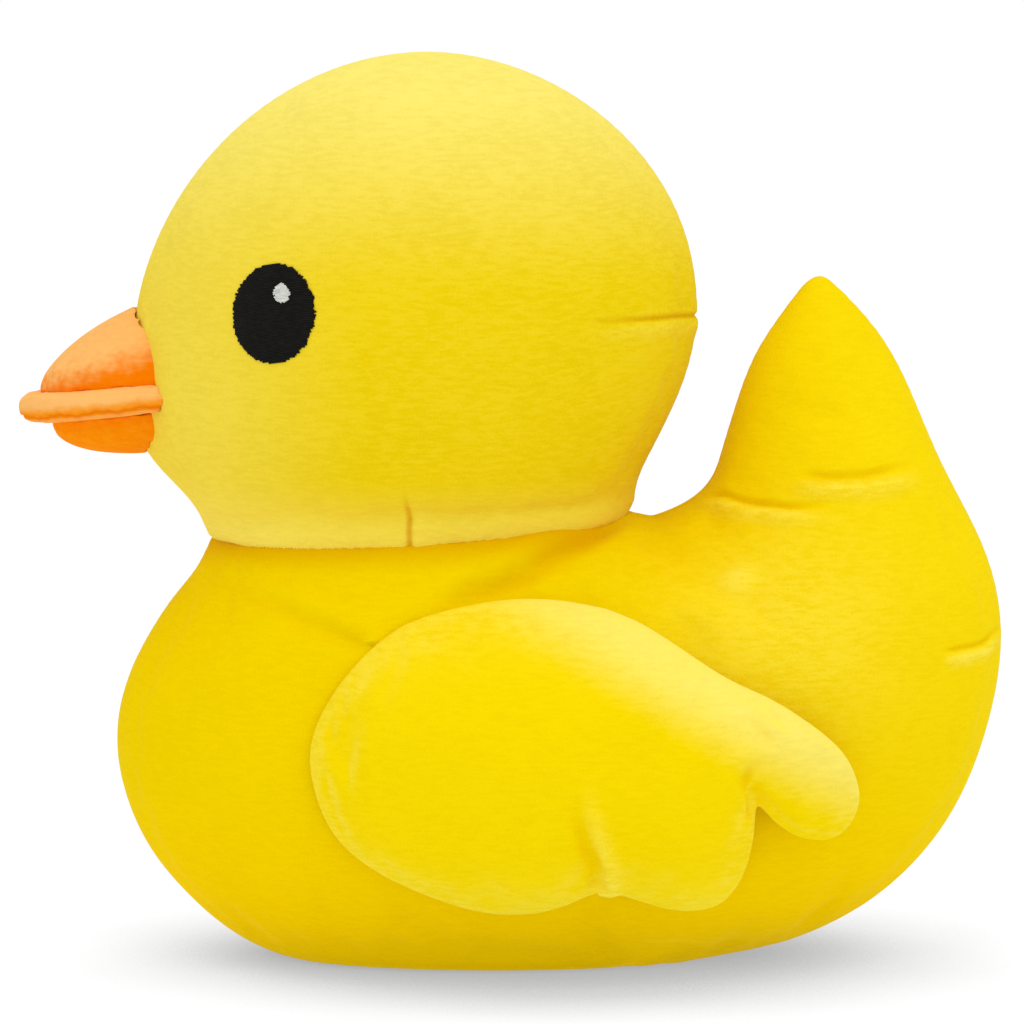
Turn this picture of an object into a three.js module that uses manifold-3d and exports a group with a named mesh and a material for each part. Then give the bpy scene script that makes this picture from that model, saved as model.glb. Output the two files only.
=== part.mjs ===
// A stuffed duck sewn from short-pile fabric: body with an upturned tail, big round head,
// wings with three lobes, padded bill and embroidered eyes.
// Millimetres, +Z up. The duck looks along -Y, its left side is at +X, and it sits on Z = 0.
import * as THREE from 'three';
import Module from 'manifold-3d';
import { mergeVertices } from 'three/addons/utils/BufferGeometryUtils.js';

const wasm = await Module();
wasm.setup();

// Gap kept between two pieces that touch
const clearance = 0.3;

// Body, with lengths along Y measured from the middle of the duck
const chestFront = -109.3;
const chestHeight = 62;
const rumpBack = 136.5;
const rumpHeight = 87;
const bodyWidth = 142;
const baseFront = -65.7;
const baseBack = 58;
const baseWidth = 64;

// Tail
const tailTipPlace = 85.7;
const tailTipHeight = 187.8;
const tailFilling = 0.55; // how hard the tail is stuffed, against the body

// Neck seam, a flat oval that rises towards the tail
const neckFront = -82.6;
const neckFrontHeight = 116.7;
const neckBack = 33.6;
const neckBackHeight = 123.1;
const neckWidth = 104;

// Head
const faceFront = -104.1;
const faceHeight = 165;
const crownPlace = -23.4;
const crownHeight = 250;
const headBack = 51.1;
const headBackHeight = 181.5;
const headWidth = 134;
const skullRoundness = 1.93; // 2 is a true ellipse over the top of the head

// Wings
const wingFront = -53.4;
const wingBottom = 20.8;
const wingLength = 146.3;
const wingHeight = 86.1;
const wingThickness = 17;
const wingEdgeGap = 3.5; // how far the sewn edge stands off the body
const wingLift = 5; // how far the tips of the lobes hang clear of the body
const wingPuff = 20; // distance from the edge at which the filling levels out

// Bill, tilted down towards its tip
const billTilt = 7;
const billPlace = -94;
const billHeight = 157;
const lipReach = 42.2;
const lipWidth = 66;
const lipThickness = 8.5;
const upperBillReach = 35.8;
const upperBillWidth = 60;
const upperBillHeight = 20.8;
const upperBillFullness = 1.5;
const lowerBillReach = 33.8;
const lowerBillWidth = 49;
const lowerBillDepth = 12.3;
const lowerBillFullness = 2.3;
const billRoot = 22; // length of bill that is trimmed to the face

// Eyes, embroidered ovals with a small glint of light thread
const eyePlace = -62.2;
const eyeHeight = 181.2;
const eyeWidth = 26.8;
const eyeTall = 28.4;
const eyeThread = 1;
const glintPlace = -59.8;
const glintHeight = 186.3;
const glintWidth = 4.4;
const glintTall = 5.4;
const glintThread = 0.6;

// Mesh steps
const chestSteps = 7;
const seamSteps = 13;
const tailSteps = 16;
const chinSteps = 6;
const ribSteps = 14;
const wingRibSteps = 10;
const lobeSteps = [14, 10, 8];
const billRings = 8;
const sectionSteps = 14;

const point = (along, up) => new THREE.Vector2(along, up);

// Points between two ends, given as shares of the way along Y and up Z
function between(from, to, shares) {
  return shares.map(([along, up]) => point(
    from.x + (to.x - from.x) * along,
    from.y + (to.y - from.y) * up,
  ));
}

// A quarter turn, a little flatter than an ellipse, that leaves the first end upright and
// reaches the second one level
function quarter(from, to, steps) {
  const power = 2 / skullRoundness;
  const turns = Array.from({ length: steps - 1 }, (_, i) => (i + 1) / steps * Math.PI / 2);
  return between(from, to, turns.map((turn) => [
    1 - Math.cos(turn) ** power,
    Math.sin(turn) ** power,
  ]));
}

// A smooth curve through points, cut into even steps
function run(points, steps) {
  const through = points.map((p) => new THREE.Vector3(0, p.x, p.y));
  const curve = new THREE.CatmullRomCurve3(through, false, 'centripetal');
  curve.arcLengthDivisions = 40 * steps;
  return curve.getSpacedPoints(steps).map((p) => point(p.y, p.z));
}

// A straight seam, cut into even steps
function straight(from, to, steps) {
  return Array.from({ length: steps + 1 }, (_, i) => from.clone().lerp(to, i / steps));
}

// Joins stretches of rim that share their end points
function join(...stretches) {
  return stretches.flatMap((stretch, i) => (i === 0 ? stretch : stretch.slice(1)));
}

// One side of a stuffed piece, laid out flat as ribs from the lower rim to the upper rim.
// The first and last ribs are single points, where the two rims meet.
function layOut(lower, upper, steps) {
  const last = lower.length - 1;
  const points = [];
  const ribs = lower.map((from, rib) => {
    const count = rib === 0 || rib === last ? 0 : steps;
    const row = [];
    for (let step = 0; step <= steps; step += 1) {
      if (step <= count) {
        const share = count === 0 ? 0 : 0.5 - 0.5 * Math.cos(Math.PI * step / steps);
        points.push(from.clone().lerp(upper[rib], share));
      }
      row.push(points.length - 1);
    }
    return row;
  });
  const triangles = [];
  const add = (...corners) => {
    if (new Set(corners).size === 3) triangles.push(corners);
  };
  for (let rib = 0; rib < last; rib += 1) {
    for (let step = 0; step < steps; step += 1) {
      const [a, b] = [ribs[rib][step], ribs[rib + 1][step]];
      const [d, c] = [ribs[rib][step + 1], ribs[rib + 1][step + 1]];
      if (points[a].distanceTo(points[c]) < points[b].distanceTo(points[d])) {
        add(a, b, c);
        add(a, c, d);
      } else {
        add(a, b, d);
        add(b, c, d);
      }
    }
  }
  return { points, ribs, triangles, steps, last };
}

// What the rims hold: zero where the two sides are sewn together, and nothing inside
function sewnRim({ points, ribs, steps }) {
  const held = points.map(() => null);
  for (const row of ribs) {
    held[row[0]] = 0;
    held[row[steps]] = 0;
  }
  return held;
}

// Opens a stretch of rim into an oval of the given width
function openOval(panel, held, onUpperRim, firstRib, width) {
  for (let i = 1; i < seamSteps; i += 1) {
    const rim = panel.ribs[firstRib + i][onUpperRim ? panel.steps : 0];
    const share = i / seamSteps;
    held[rim] = width ** 2 * share * (1 - share);
  }
}

// A skin stretched over the panel, held at its rims and pushed out from inside
function stretchSkin(panel, held, push, puff = Infinity) {
  const { points, triangles } = panel;
  const links = points.map(() => new Map());
  const pushes = points.map(() => 0);
  const springs = points.map(() => 0);
  for (const triangle of triangles) {
    for (let i = 0; i < 3; i += 1) {
      const [p, q, r] = [triangle[i], triangle[(i + 1) % 3], triangle[(i + 2) % 3]];
      const first = points[p].clone().sub(points[r]);
      const second = points[q].clone().sub(points[r]);
      const across = Math.abs(first.cross(second));
      const pull = first.dot(second) / across / 2;
      links[p].set(q, (links[p].get(q) ?? 0) + pull);
      links[q].set(p, (links[q].get(p) ?? 0) + pull);
      pushes[p] += push(points[p]) * across / 6;
      springs[p] += across / 6 / puff ** 2;
    }
  }
  const passes = 500;
  const haste = 1.7;
  const skin = held.map((value) => value ?? 0);
  for (let pass = 0; pass < passes; pass += 1) {
    skin.forEach((value, i) => {
      if (held[i] !== null) return;
      let sum = pushes[i];
      let total = springs[i];
      links[i].forEach((pull, other) => {
        sum += pull * skin[other];
        total += pull;
      });
      skin[i] = value + haste * (sum / total - value);
    });
  }
  return skin;
}

// Half the thickness at each point of a piece that is stuffed to a given full width
function stuff(panel, held, width, push = () => 1) {
  const pushed = stretchSkin(panel, sewnRim(panel), push);
  const resting = stretchSkin(panel, held, () => 0);
  const crown = pushed.indexOf(Math.max(...pushed));
  const pressure = ((width / 2) ** 2 - resting[crown]) / pushed[crown];
  return pushed.map((value, i) => Math.sqrt(Math.max(0, pressure * value + resting[i])));
}

// Half the thickness of a stuffed piece where a line along X meets it
function depthAt({ points, triangles }, depths, along, up) {
  const target = point(along, up);
  const corner = (a, b) => points[b].clone().sub(points[a]).cross(target.clone().sub(points[a]));
  for (const [a, b, c] of triangles) {
    const shares = [corner(b, c), corner(c, a), corner(a, b)];
    const whole = shares[0] + shares[1] + shares[2];
    if (shares.every((share) => share >= -1e-6 * whole)) {
      return (shares[0] * depths[a] + shares[1] * depths[b] + shares[2] * depths[c]) / whole;
    }
  }
  return 0;
}

function toGeometry(positions, triangles) {
  const geometry = new THREE.BufferGeometry();
  geometry.setAttribute('position', new THREE.Float32BufferAttribute(positions.flat(), 3));
  geometry.setIndex(triangles.flat());
  return geometry;
}

// Two mirrored skins sewn at the rim, with flat covers over the stretches left open
function closeSides({ points, ribs, triangles, steps, last }, depths) {
  const positions = points.map((p, i) => [depths[i], p.x, p.y]);
  const mirrored = points.map((p, i) => {
    if (depths[i] === 0) return i;
    positions.push([-depths[i], p.x, p.y]);
    return positions.length - 1;
  });
  const faces = [...triangles];
  triangles.forEach(([a, b, c]) => faces.push([mirrored[a], mirrored[c], mirrored[b]]));
  const cover = (from, to) => {
    const corners = [from, to, mirrored[to], mirrored[from]];
    for (const [a, b, c] of [[0, 1, 2], [0, 2, 3]]) {
      const face = [corners[a], corners[b], corners[c]];
      if (new Set(face).size === 3) faces.push(face);
    }
  };
  for (let rib = 0; rib < last; rib += 1) {
    const [low, nextLow] = [ribs[rib][0], ribs[rib + 1][0]];
    const [high, nextHigh] = [ribs[rib][steps], ribs[rib + 1][steps]];
    cover(nextLow, low);
    cover(high, nextHigh);
  }
  return toGeometry(positions, faces);
}

// Closed rings joined into one solid: the first ring may be a single point
function loft(rings) {
  const positions = rings.flat().map((p) => p.toArray());
  const starts = rings.map((_, i) => rings.slice(0, i).flat().length);
  const faces = [];
  for (let i = 0; i + 1 < rings.length; i += 1) {
    const [count, here, next] = [rings[i + 1].length, starts[i], starts[i + 1]];
    for (let j = 0; j < count; j += 1) {
      const k = (j + 1) % count;
      if (rings[i].length === 1) {
        faces.push([here, next + j, next + k]);
      } else {
        faces.push([here + j, next + j, next + k], [here + j, next + k, here + k]);
      }
    }
  }
  const end = starts.at(-1);
  for (let j = 1; j + 1 < rings.at(-1).length; j += 1) faces.push([end, end + j + 1, end + j]);
  return toGeometry(positions, faces);
}

// The same closed skin moved outwards along its own normals
function grown(geometry, distance) {
  const copy = mergeVertices(geometry.clone());
  copy.computeVertexNormals();
  const { position, normal } = copy.attributes;
  for (let i = 0; i < position.count; i += 1) {
    position.setXYZ(
      i,
      position.getX(i) + distance * normal.getX(i),
      position.getY(i) + distance * normal.getY(i),
      position.getZ(i) + distance * normal.getZ(i),
    );
  }
  copy.deleteAttribute('normal');
  return copy;
}

function toSolid(geometry) {
  const bare = geometry.clone();
  bare.deleteAttribute('normal');
  bare.deleteAttribute('uv');
  const merged = mergeVertices(bare);
  const mesh = new wasm.Mesh({
    numProp: 3,
    vertProperties: Float32Array.from(merged.attributes.position.array),
    triVerts: Uint32Array.from(merged.index.array),
  });
  return new wasm.Manifold(mesh);
}

function fromSolid(solid) {
  const mesh = solid.getMesh();
  const geometry = new THREE.BufferGeometry();
  geometry.setAttribute('position', new THREE.BufferAttribute(mesh.vertProperties, 3));
  geometry.setIndex(new THREE.BufferAttribute(mesh.triVerts, 1));
  return geometry;
}

function mirror(geometry) {
  const copy = geometry.clone().scale(-1, 1, 1);
  const { index } = copy;
  for (let i = 0; i < index.count; i += 3) {
    const swapped = index.getX(i + 1);
    index.setX(i + 1, index.getX(i + 2));
    index.setX(i + 2, swapped);
  }
  return copy;
}

// Body and tail
const neckStart = point(neckFront, neckFrontHeight);
const neckEnd = point(neckBack, neckBackHeight);
const baseStart = point(baseFront, 0);
const baseEnd = point(baseBack, 0);
const chest = point(chestFront, chestHeight);
const rump = point(rumpBack, rumpHeight);
const tailTip = point(tailTipPlace, tailTipHeight);

const chestRim = run([
  neckStart,
  ...between(chest, neckStart, [[0.91, 0.87], [0.63, 0.72], [0.29, 0.46], [0.1, 0.26]]),
  chest,
  ...between(chest, baseStart, [
    [0.023, 0.18], [0.1, 0.363], [0.23, 0.544], [0.45, 0.726], [0.725, 0.9],
  ]),
  baseStart,
], 2 * chestSteps);
const tailFrontRim = run([
  neckEnd,
  ...between(neckEnd, tailTip, [
    [0.09, -0.02], [0.19, 0.005], [0.3, 0.048], [0.37, 0.09], [0.434, 0.16],
    [0.486, 0.305], [0.628, 0.646], [0.758, 0.818], [0.91, 0.961],
  ]),
  tailTip,
], tailSteps);
const rumpRim = run([
  baseEnd,
  ...between(baseEnd, rump, [
    [0.225, 0.03], [0.403, 0.098], [0.58, 0.195], [0.755, 0.357], [0.882, 0.552],
  ]),
  rump,
  ...between(rump, tailTip, [
    [0.09, 0.25], [0.329, 0.47], [0.512, 0.69], [0.612, 0.8], [0.77, 0.91], [0.9, 0.975],
  ]),
  tailTip,
], tailSteps);
const chestPole = chestSteps;
const bodyPanel = layOut(
  join(chestRim.slice(chestPole), straight(baseStart, baseEnd, seamSteps), rumpRim),
  join(
    chestRim.slice(0, chestPole + 1).reverse(),
    straight(neckStart, neckEnd, seamSteps),
    tailFrontRim,
  ),
  ribSteps,
);
const bodyHeld = sewnRim(bodyPanel);
openOval(bodyPanel, bodyHeld, false, chestSteps, baseWidth);
openOval(bodyPanel, bodyHeld, true, chestSteps, neckWidth);
const tailRoot = THREE.MathUtils.lerp(neckBackHeight, tailTipHeight, 0.15);
const bodyDepths = stuff(bodyPanel, bodyHeld, bodyWidth, (p) => (
  THREE.MathUtils.lerp(1, tailFilling, THREE.MathUtils.smoothstep(p.y, rumpHeight, tailRoot))
));
const bodyShape = closeSides(bodyPanel, bodyDepths);

// Head
const face = point(faceFront, faceHeight);
const crown = point(crownPlace, crownHeight);
const backOfHead = point(headBack, headBackHeight);
const headRim = run([
  neckStart,
  ...between(face, neckStart, [
    [0.92, 0.88], [0.642, 0.747], [0.386, 0.631], [0.158, 0.518], [0.047, 0.398],
  ]),
  face,
  ...quarter(face, crown, 5),
  crown,
  ...quarter(backOfHead, crown, 5).reverse(),
  backOfHead,
  ...between(backOfHead, neckEnd, [
    [0.05, 0.2], [0.263, 0.426], [0.486, 0.568], [0.72, 0.71], [0.97, 0.853], [1.05, 0.92],
  ]),
  neckEnd,
], 4 * chinSteps + seamSteps);
const headPanel = layOut(
  join(
    headRim.slice(0, chinSteps + 1).reverse(),
    straight(neckStart, neckEnd, seamSteps),
    headRim.slice(-chinSteps - 1).reverse(),
  ),
  headRim.slice(chinSteps, -chinSteps),
  ribSteps,
);
const headHeld = sewnRim(headPanel);
openOval(headPanel, headHeld, false, chinSteps, neckWidth);
const headDepths = stuff(headPanel, headHeld, headWidth);
const headShape = closeSides(headPanel, headDepths);
headShape.translate(0, 0, clearance);

// Wings: a padded pair of panels that follows the side of the body
const wingCorner = point(wingFront, wingBottom);
const wingFar = point(wingFront + wingLength, wingBottom + wingHeight);
const wingRun = (shares, steps) => run(between(wingCorner, wingFar, shares), steps);
const wingNose = [0, 0.491];
const wingTip = [1, 0.383];
const firstNotch = [0.533, 0.095];
const secondNotch = [0.806, 0.381];
const wingLowerRim = join(
  wingRun([
    wingNose, [0.012, 0.383], [0.043, 0.26], [0.093, 0.177], [0.166, 0.102], [0.236, 0.052],
    [0.303, 0.012], [0.372, 0], [0.434, 0.013], [0.487, 0.05], firstNotch,
  ], lobeSteps[0]),
  wingRun([
    firstNotch, [0.579, 0.062], [0.638, 0.023], [0.7, 0.003], [0.758, 0.033],
    [0.79, 0.135], [0.806, 0.26], secondNotch,
  ], lobeSteps[1]),
  wingRun([
    secondNotch, [0.85, 0.29], [0.908, 0.24], [0.956, 0.242], [0.989, 0.297], wingTip,
  ], lobeSteps[2]),
);
const wingUpperRim = wingRun([
  wingNose, [0.009, 0.589], [0.065, 0.758], [0.164, 0.915], [0.312, 0.99], [0.408, 1],
  [0.492, 0.984], [0.579, 0.944], [0.663, 0.86], [0.757, 0.756], [0.842, 0.69],
  [0.936, 0.577], [0.978, 0.498], wingTip,
], lobeSteps[0] + lobeSteps[1] + lobeSteps[2]);
const wingPanel = layOut(wingLowerRim, wingUpperRim, wingRibSteps);
const wingSkin = stretchSkin(wingPanel, sewnRim(wingPanel), () => 1, wingPuff);
const wingFullness = Math.sqrt(Math.max(...wingSkin));
const wingRoot = point(wingFront, wingBottom + wingHeight);

function wingShape() {
  const { points, triangles } = wingPanel;
  const positions = [];
  const padding = wingSkin.map((value) => Math.sqrt(value) / wingFullness);
  points.forEach((p, i) => {
    const fromRoot = (p.distanceTo(wingRoot) / wingLength) ** 2;
    const edgeGap = wingEdgeGap * (1 - padding[i]) * Math.min(1, 4 * fromRoot);
    const side = depthAt(bodyPanel, bodyDepths, p.x, p.y) + 2 * clearance;
    positions.push([side + wingLift * fromRoot + edgeGap, p.x, p.y]);
  });
  const outer = points.map((_, i) => {
    if (padding[i] === 0) return i;
    const [side, along, up] = positions[i];
    positions.push([side + wingThickness * padding[i], along, up]);
    return positions.length - 1;
  });
  const faces = triangles.flatMap(([a, b, c]) => [[outer[a], outer[b], outer[c]], [a, c, b]]);
  return toGeometry(positions, faces);
}
const wingLeftShape = wingShape();

// Bill: three padded pieces in a tilted frame of their own, trimmed to the face
const tiltBill = new THREE.Matrix4()
  .makeTranslation(0, billPlace, billHeight)
  .multiply(new THREE.Matrix4().makeRotationX(THREE.MathUtils.degToRad(billTilt)));
const faceCutter = toSolid(grown(headShape, clearance));

function trimToFace(geometry) {
  geometry.applyMatrix4(tiltBill);
  return fromSolid(toSolid(geometry).subtract(faceCutter));
}

// Places along the bill from its tip to the face, closer together at the tip
function billStations(reach) {
  const turns = Array.from({ length: billRings }, (_, i) => (i + 1) / billRings * Math.PI / 2);
  return [...turns.map((turn) => reach * Math.cos(turn)), -billRoot / 2, -billRoot];
}

// How wide the bill's outline is at a place along it, against its full width
const billOutline = (share) => (share <= 0 ? 1 : (1 - share ** 2.3) ** 0.5);

function billDome(reach, width, height, fullness, base) {
  const rings = billStations(reach).map((place) => {
    const share = Math.max(0, place / reach);
    const half = width / 2 * billOutline(share);
    const tall = height * (1 - share ** fullness) ** (1 / fullness);
    return Array.from({ length: sectionSteps + 1 }, (_, i) => {
      const turn = Math.PI * i / sectionSteps;
      return new THREE.Vector3(half * Math.cos(turn), -place, base + tall * Math.sin(turn));
    });
  });
  return loft([[new THREE.Vector3(0, -reach, base)], ...rings]);
}

function billLip() {
  const thick = lipThickness / 2;
  const half = sectionSteps / 2;
  const rings = billStations(lipReach).map((place) => {
    const inset = Math.min(thick, lipReach - place);
    const tall = Math.sqrt(thick ** 2 - (thick - inset) ** 2);
    const flat = Math.max(0, lipWidth / 2 * billOutline(place / lipReach) - tall);
    return Array.from({ length: 2 * half + 2 }, (_, i) => {
      const side = i <= half ? 1 : -1;
      const turn = Math.PI * ((i <= half ? i : i - 1) / half - 0.5);
      return new THREE.Vector3(
        side * flat + tall * Math.cos(turn),
        -place,
        tall * Math.sin(turn),
      );
    });
  });
  return loft([[new THREE.Vector3(0, -lipReach, 0)], ...rings]);
}

const domeBase = lipThickness / 2 + clearance;
const upperBillShape = trimToFace(
  billDome(upperBillReach, upperBillWidth, upperBillHeight, upperBillFullness, domeBase),
);
const lipShape = trimToFace(billLip());
const lowerBill = billDome(lowerBillReach, lowerBillWidth, lowerBillDepth, lowerBillFullness, domeBase);
lowerBill.applyMatrix4(new THREE.Matrix4().makeRotationY(Math.PI));
const lowerBillShape = trimToFace(lowerBill);

// Eyes: patches of thread that lie on the face
function patch(place, height, width, tall, under, thread) {
  const depth = depthAt(headPanel, headDepths, place, height - clearance);
  const reach = 0.5;
  const slope = (along, up) => (
    depthAt(headPanel, headDepths, place + along * reach, height + up * reach)
    - depthAt(headPanel, headDepths, place - along * reach, height - up * reach)
  ) / (2 * reach);
  const out = new THREE.Vector3(1, -slope(1, 0), -slope(0, 1)).normalize();
  const back = new THREE.Vector3(0, 0, 1).cross(out).normalize();
  const up = out.clone().cross(back);
  const outline = new THREE.Shape().absellipse(0, 0, width / 2, tall / 2, 0, 2 * Math.PI);
  const punch = new THREE.ExtrudeGeometry(outline, {
    depth: headWidth / 4,
    bevelEnabled: false,
    curveSegments: 28,
  });
  punch.translate(0, 0, -headWidth / 8);
  punch.applyMatrix4(new THREE.Matrix4().makeBasis(back, up, out));
  punch.translate(depth, place, height);
  const above = toSolid(grown(headShape, under + thread));
  const layer = above.subtract(toSolid(grown(headShape, under)));
  return fromSolid(layer.intersect(toSolid(punch)));
}

const eyeShape = patch(eyePlace, eyeHeight, eyeWidth, eyeTall, clearance, eyeThread);
const glintShape = patch(
  glintPlace,
  glintHeight,
  glintWidth,
  glintTall,
  2 * clearance + eyeThread,
  glintThread,
);

function material(color, roughness) {
  return new THREE.MeshStandardMaterial({ color, roughness, metalness: 0 });
}
const yellowPlush = material(0xf2da14, 0.95);
const orangePlush = material(0xfb9632, 0.95);
const blackThread = material(0x1b1a15, 0.6);
const whiteThread = material(0xd8d8cf, 0.6);

const duck = new THREE.Group();
function addPiece(name, geometry, finish) {
  const mesh = new THREE.Mesh(geometry, finish);
  mesh.name = name;
  duck.add(mesh);
}
addPiece('body', bodyShape, yellowPlush);
addPiece('head', headShape, yellowPlush);
addPiece('wing_left', wingLeftShape, yellowPlush);
addPiece('wing_right', mirror(wingLeftShape), yellowPlush);
addPiece('bill_upper', upperBillShape, orangePlush);
addPiece('bill_lip', lipShape, orangePlush);
addPiece('bill_lower', lowerBillShape, orangePlush);
addPiece('eye_left', eyeShape, blackThread);
addPiece('eye_right', mirror(eyeShape), blackThread);
addPiece('eye_glint_left', glintShape, whiteThread);
addPiece('eye_glint_right', mirror(glintShape), whiteThread);

// The origin lies under the middle of the whole duck
const reach = new THREE.Box3().setFromObject(duck);
duck.position.y = -(reach.min.y + reach.max.y) / 2;

export default duck;
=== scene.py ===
import math

import bmesh
import bpy
import numpy as np
from mathutils import Matrix, Vector
from mathutils.bvhtree import BVHTree


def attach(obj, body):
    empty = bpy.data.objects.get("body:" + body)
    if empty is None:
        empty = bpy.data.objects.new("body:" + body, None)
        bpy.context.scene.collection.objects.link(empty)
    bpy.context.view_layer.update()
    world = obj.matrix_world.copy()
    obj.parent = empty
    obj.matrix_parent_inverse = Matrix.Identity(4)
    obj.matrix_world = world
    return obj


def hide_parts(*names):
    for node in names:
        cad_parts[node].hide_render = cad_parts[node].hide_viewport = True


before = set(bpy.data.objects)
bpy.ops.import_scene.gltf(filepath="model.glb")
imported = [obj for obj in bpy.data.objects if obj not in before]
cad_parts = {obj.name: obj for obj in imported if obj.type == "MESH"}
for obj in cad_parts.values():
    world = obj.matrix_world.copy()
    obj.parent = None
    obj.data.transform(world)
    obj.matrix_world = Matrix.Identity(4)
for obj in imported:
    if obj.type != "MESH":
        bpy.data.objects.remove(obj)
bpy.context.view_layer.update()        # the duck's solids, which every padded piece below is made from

# Sizes and places are in millimetres and turned to metres by MM.
# The duck looks along -Y, its left side is at +X, and the floor is Z = 0.
MM = 0.001

# Camera, square to the left side and a little above level
CAMERA_TARGET = (0.0, 0.31, 123.1)
CAMERA_DISTANCE = 1350.0
CAMERA_ELEVATION = 5.5
CAMERA_LENS = 171.6

# Neck seam, a flat oval between head and body
NECK_FRONT = (-82.7, 116.85)
NECK_BACK = (33.5, 123.25)
NECK_REAR = 36.0         # behind this the body is free of the head

# Middles of the side views, as length and height
HEAD_MIDDLE = (-26.0, 180.0)
BODY_MIDDLE = (5.0, 85.0)

# Fabric
SKIN_CELL = 4.3          # size of the cells that the big skins are simulated with
BILL_CELL = 1.3
STUFFING = 20.0          # pressure of the filling
FILL_FRAMES = 20
CLOTH_MASS = 0.002       # a light skin, so that the pressure moves it
STIFFNESS = 10.0
BENDING = 0.3
LOOSENESS = 0.03         # by which share the skins are cut larger than they need to be
SLACK = 2.2              # how far the filling pushes a slack skin out to its full size
SILHOUETTE = 26.0        # how far from the centre seam the skin is wholly free
SEAM_WIDTH = 1.3
SEAM_DEPTH = 1.0
GATHER_PITCH = 4.2       # puckers along a seam
GATHER_HEIGHT = 0.05
SEAM_REACH = 2.4         # cells this near to the centre seam are split
STITCH_WAVE = 2.6        # puckers along a dart
HEAD_PILE = 0.425        # how far the pile stands out from the skin
BODY_PILE = 0.2
RIM_ROLL = 0.35          # how far the head rolls out over its neck seam
TIP_RISE = 2.2           # how far the tail's tip is pulled out into its corner
NECK_SINK = 1.3          # how far the head's rim presses into the body

# Light of the white room, which itself shows as pure white
ROOM_LIGHT = 0.78
SUN_POWER = 0.9
SUN_SPREAD = 70.0
SUN_DIRECTION = (-0.45, -0.12, -1.0)

# The floor glows white and dims by ambient occlusion where the duck covers it: a painted
# shadow, which stays grey beside the yellow fabric
FLOOR_SIZE = 12000.0
SHADE_REACH = 60.0
SHADE_GREY = (172, 172, 173)

# Bill: its lip lies in a plane that drops towards the tip
BILL_ROOT = (-94.0, 157.0)
BILL_SLOPE = 0.1228
LIP_GROOVE = -2.4        # place of the groove below the middle of the lip
GROOVE_DEPTH = 0.55
BILL_SLACK = 0.5
FACE_SINK = 3.0          # how far the bill presses into the face

# Embroidery: each eye is an oval of satin rows on the face, and its glint lies on top of it
THREAD_RADIUS = 0.27
EYE = {"centre": (60.7, -63.7, 181.7), "size": (24.4, 26.4), "pitch": 0.46, "ragged": 0.32,
       "tilt": 8.0, "dome": 0.75, "lift": 0.1, "seed": 3}
GLINT = {"centre": (61.9, -61.0, 187.1), "size": (4.2, 5.2), "pitch": 0.42, "ragged": 0.25,
         "tilt": 35.0, "dome": 0.3, "lift": 1.1, "seed": 11}


class Value:
    """A number, colour or vector in a node tree. Arithmetic on it adds Math nodes."""

    def __init__(self, tree, socket):
        self.tree = tree
        self.socket = socket

    def math(self, operation, first, second=0.0):
        return self.tree.node(
            "ShaderNodeMath", {"operation": operation}, {0: first, 1: second}
        )

    def __add__(self, other):
        return self.math("ADD", self, other)

    def __sub__(self, other):
        return self.math("SUBTRACT", self, other)

    def __rsub__(self, other):
        return self.math("SUBTRACT", other, self)

    def __mul__(self, other):
        return self.math("MULTIPLY", self, other)

    def __truediv__(self, other):
        return self.math("DIVIDE", self, other)

    def root(self):
        return self.math("SQRT", self)

    __radd__ = __add__
    __rmul__ = __mul__


class Tree:
    """Builds a node tree: one call makes a node, sets it, plugs it in and gives its output."""

    def __init__(self, nodes_and_links):
        self.tree = nodes_and_links

    def node(self, kind, settings=None, inputs=None, output=0):
        made = self.tree.nodes.new(kind)
        for name, value in (settings or {}).items():
            setattr(made, name, value)
        for name, value in (inputs or {}).items():
            if isinstance(value, Value):
                self.tree.links.new(value.socket, made.inputs[name])
            else:
                made.inputs[name].default_value = value
        return Value(self, made.outputs[output]) if made.outputs else made

    def mix(self, share, first, second):
        """A colour between two others."""
        settings = {"data_type": "RGBA"}
        return self.node("ShaderNodeMix", settings, {0: share, 6: first, 7: second}, output=2)

    def between(self, value, low, high):
        """0 at low, 1 at high, clamped and eased."""
        return self.node(
            "ShaderNodeMapRange",
            {"interpolation_type": "SMOOTHSTEP"},
            {0: value, 1: low, 2: high},
        )

    def noise(self, place, size, detail=2.0, roughness=0.5, stretch=(1.0, 1.0, 1.0)):
        """Smooth noise with features of the given size in millimetres."""
        scale = [1.0 / (size * MM * part) for part in stretch]
        placed = self.node("ShaderNodeMapping", None, {"Vector": place, "Scale": scale})
        return self.node(
            "ShaderNodeTexNoise",
            None,
            {"Vector": placed, "Scale": 1.0, "Detail": detail, "Roughness": roughness},
        )


def finish_of(name, slot):
    """A new material with its tree, its object coordinates and its shader to fill in."""
    material = bpy.data.materials.new(name)
    material.use_nodes = True
    material.node_tree.nodes.clear()
    tree = Tree(material.node_tree)
    place = tree.node("ShaderNodeTexCoord", None, None, output="Object")
    material["finish_slot"] = slot
    return material, tree, place


def surface(tree, colour, roughness, bump, strength, distance, constants):
    """Closes a material: constants are plain values on the shader's own sockets."""
    normal = tree.node(
        "ShaderNodeBump",
        None,
        {"Height": bump, "Strength": strength, "Distance": distance * MM},
    )
    inputs = {"Base Color": colour, "Roughness": roughness, "Normal": normal}
    shader = tree.node("ShaderNodeBsdfPrincipled", None, {**inputs, **constants})
    tree.node("ShaderNodeOutputMaterial", None, {"Surface": shader})


def rgb(red, green, blue):
    """A colour given as it looks on screen, 0 to 255, as linear light."""
    parts = [part / 255 for part in (red, green, blue)]
    return tuple(p / 12.92 if p <= 0.04045 else ((p + 0.055) / 1.055) ** 2.4 for p in parts)


def rgba(*parts):
    return (*rgb(*parts), 1.0)


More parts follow.
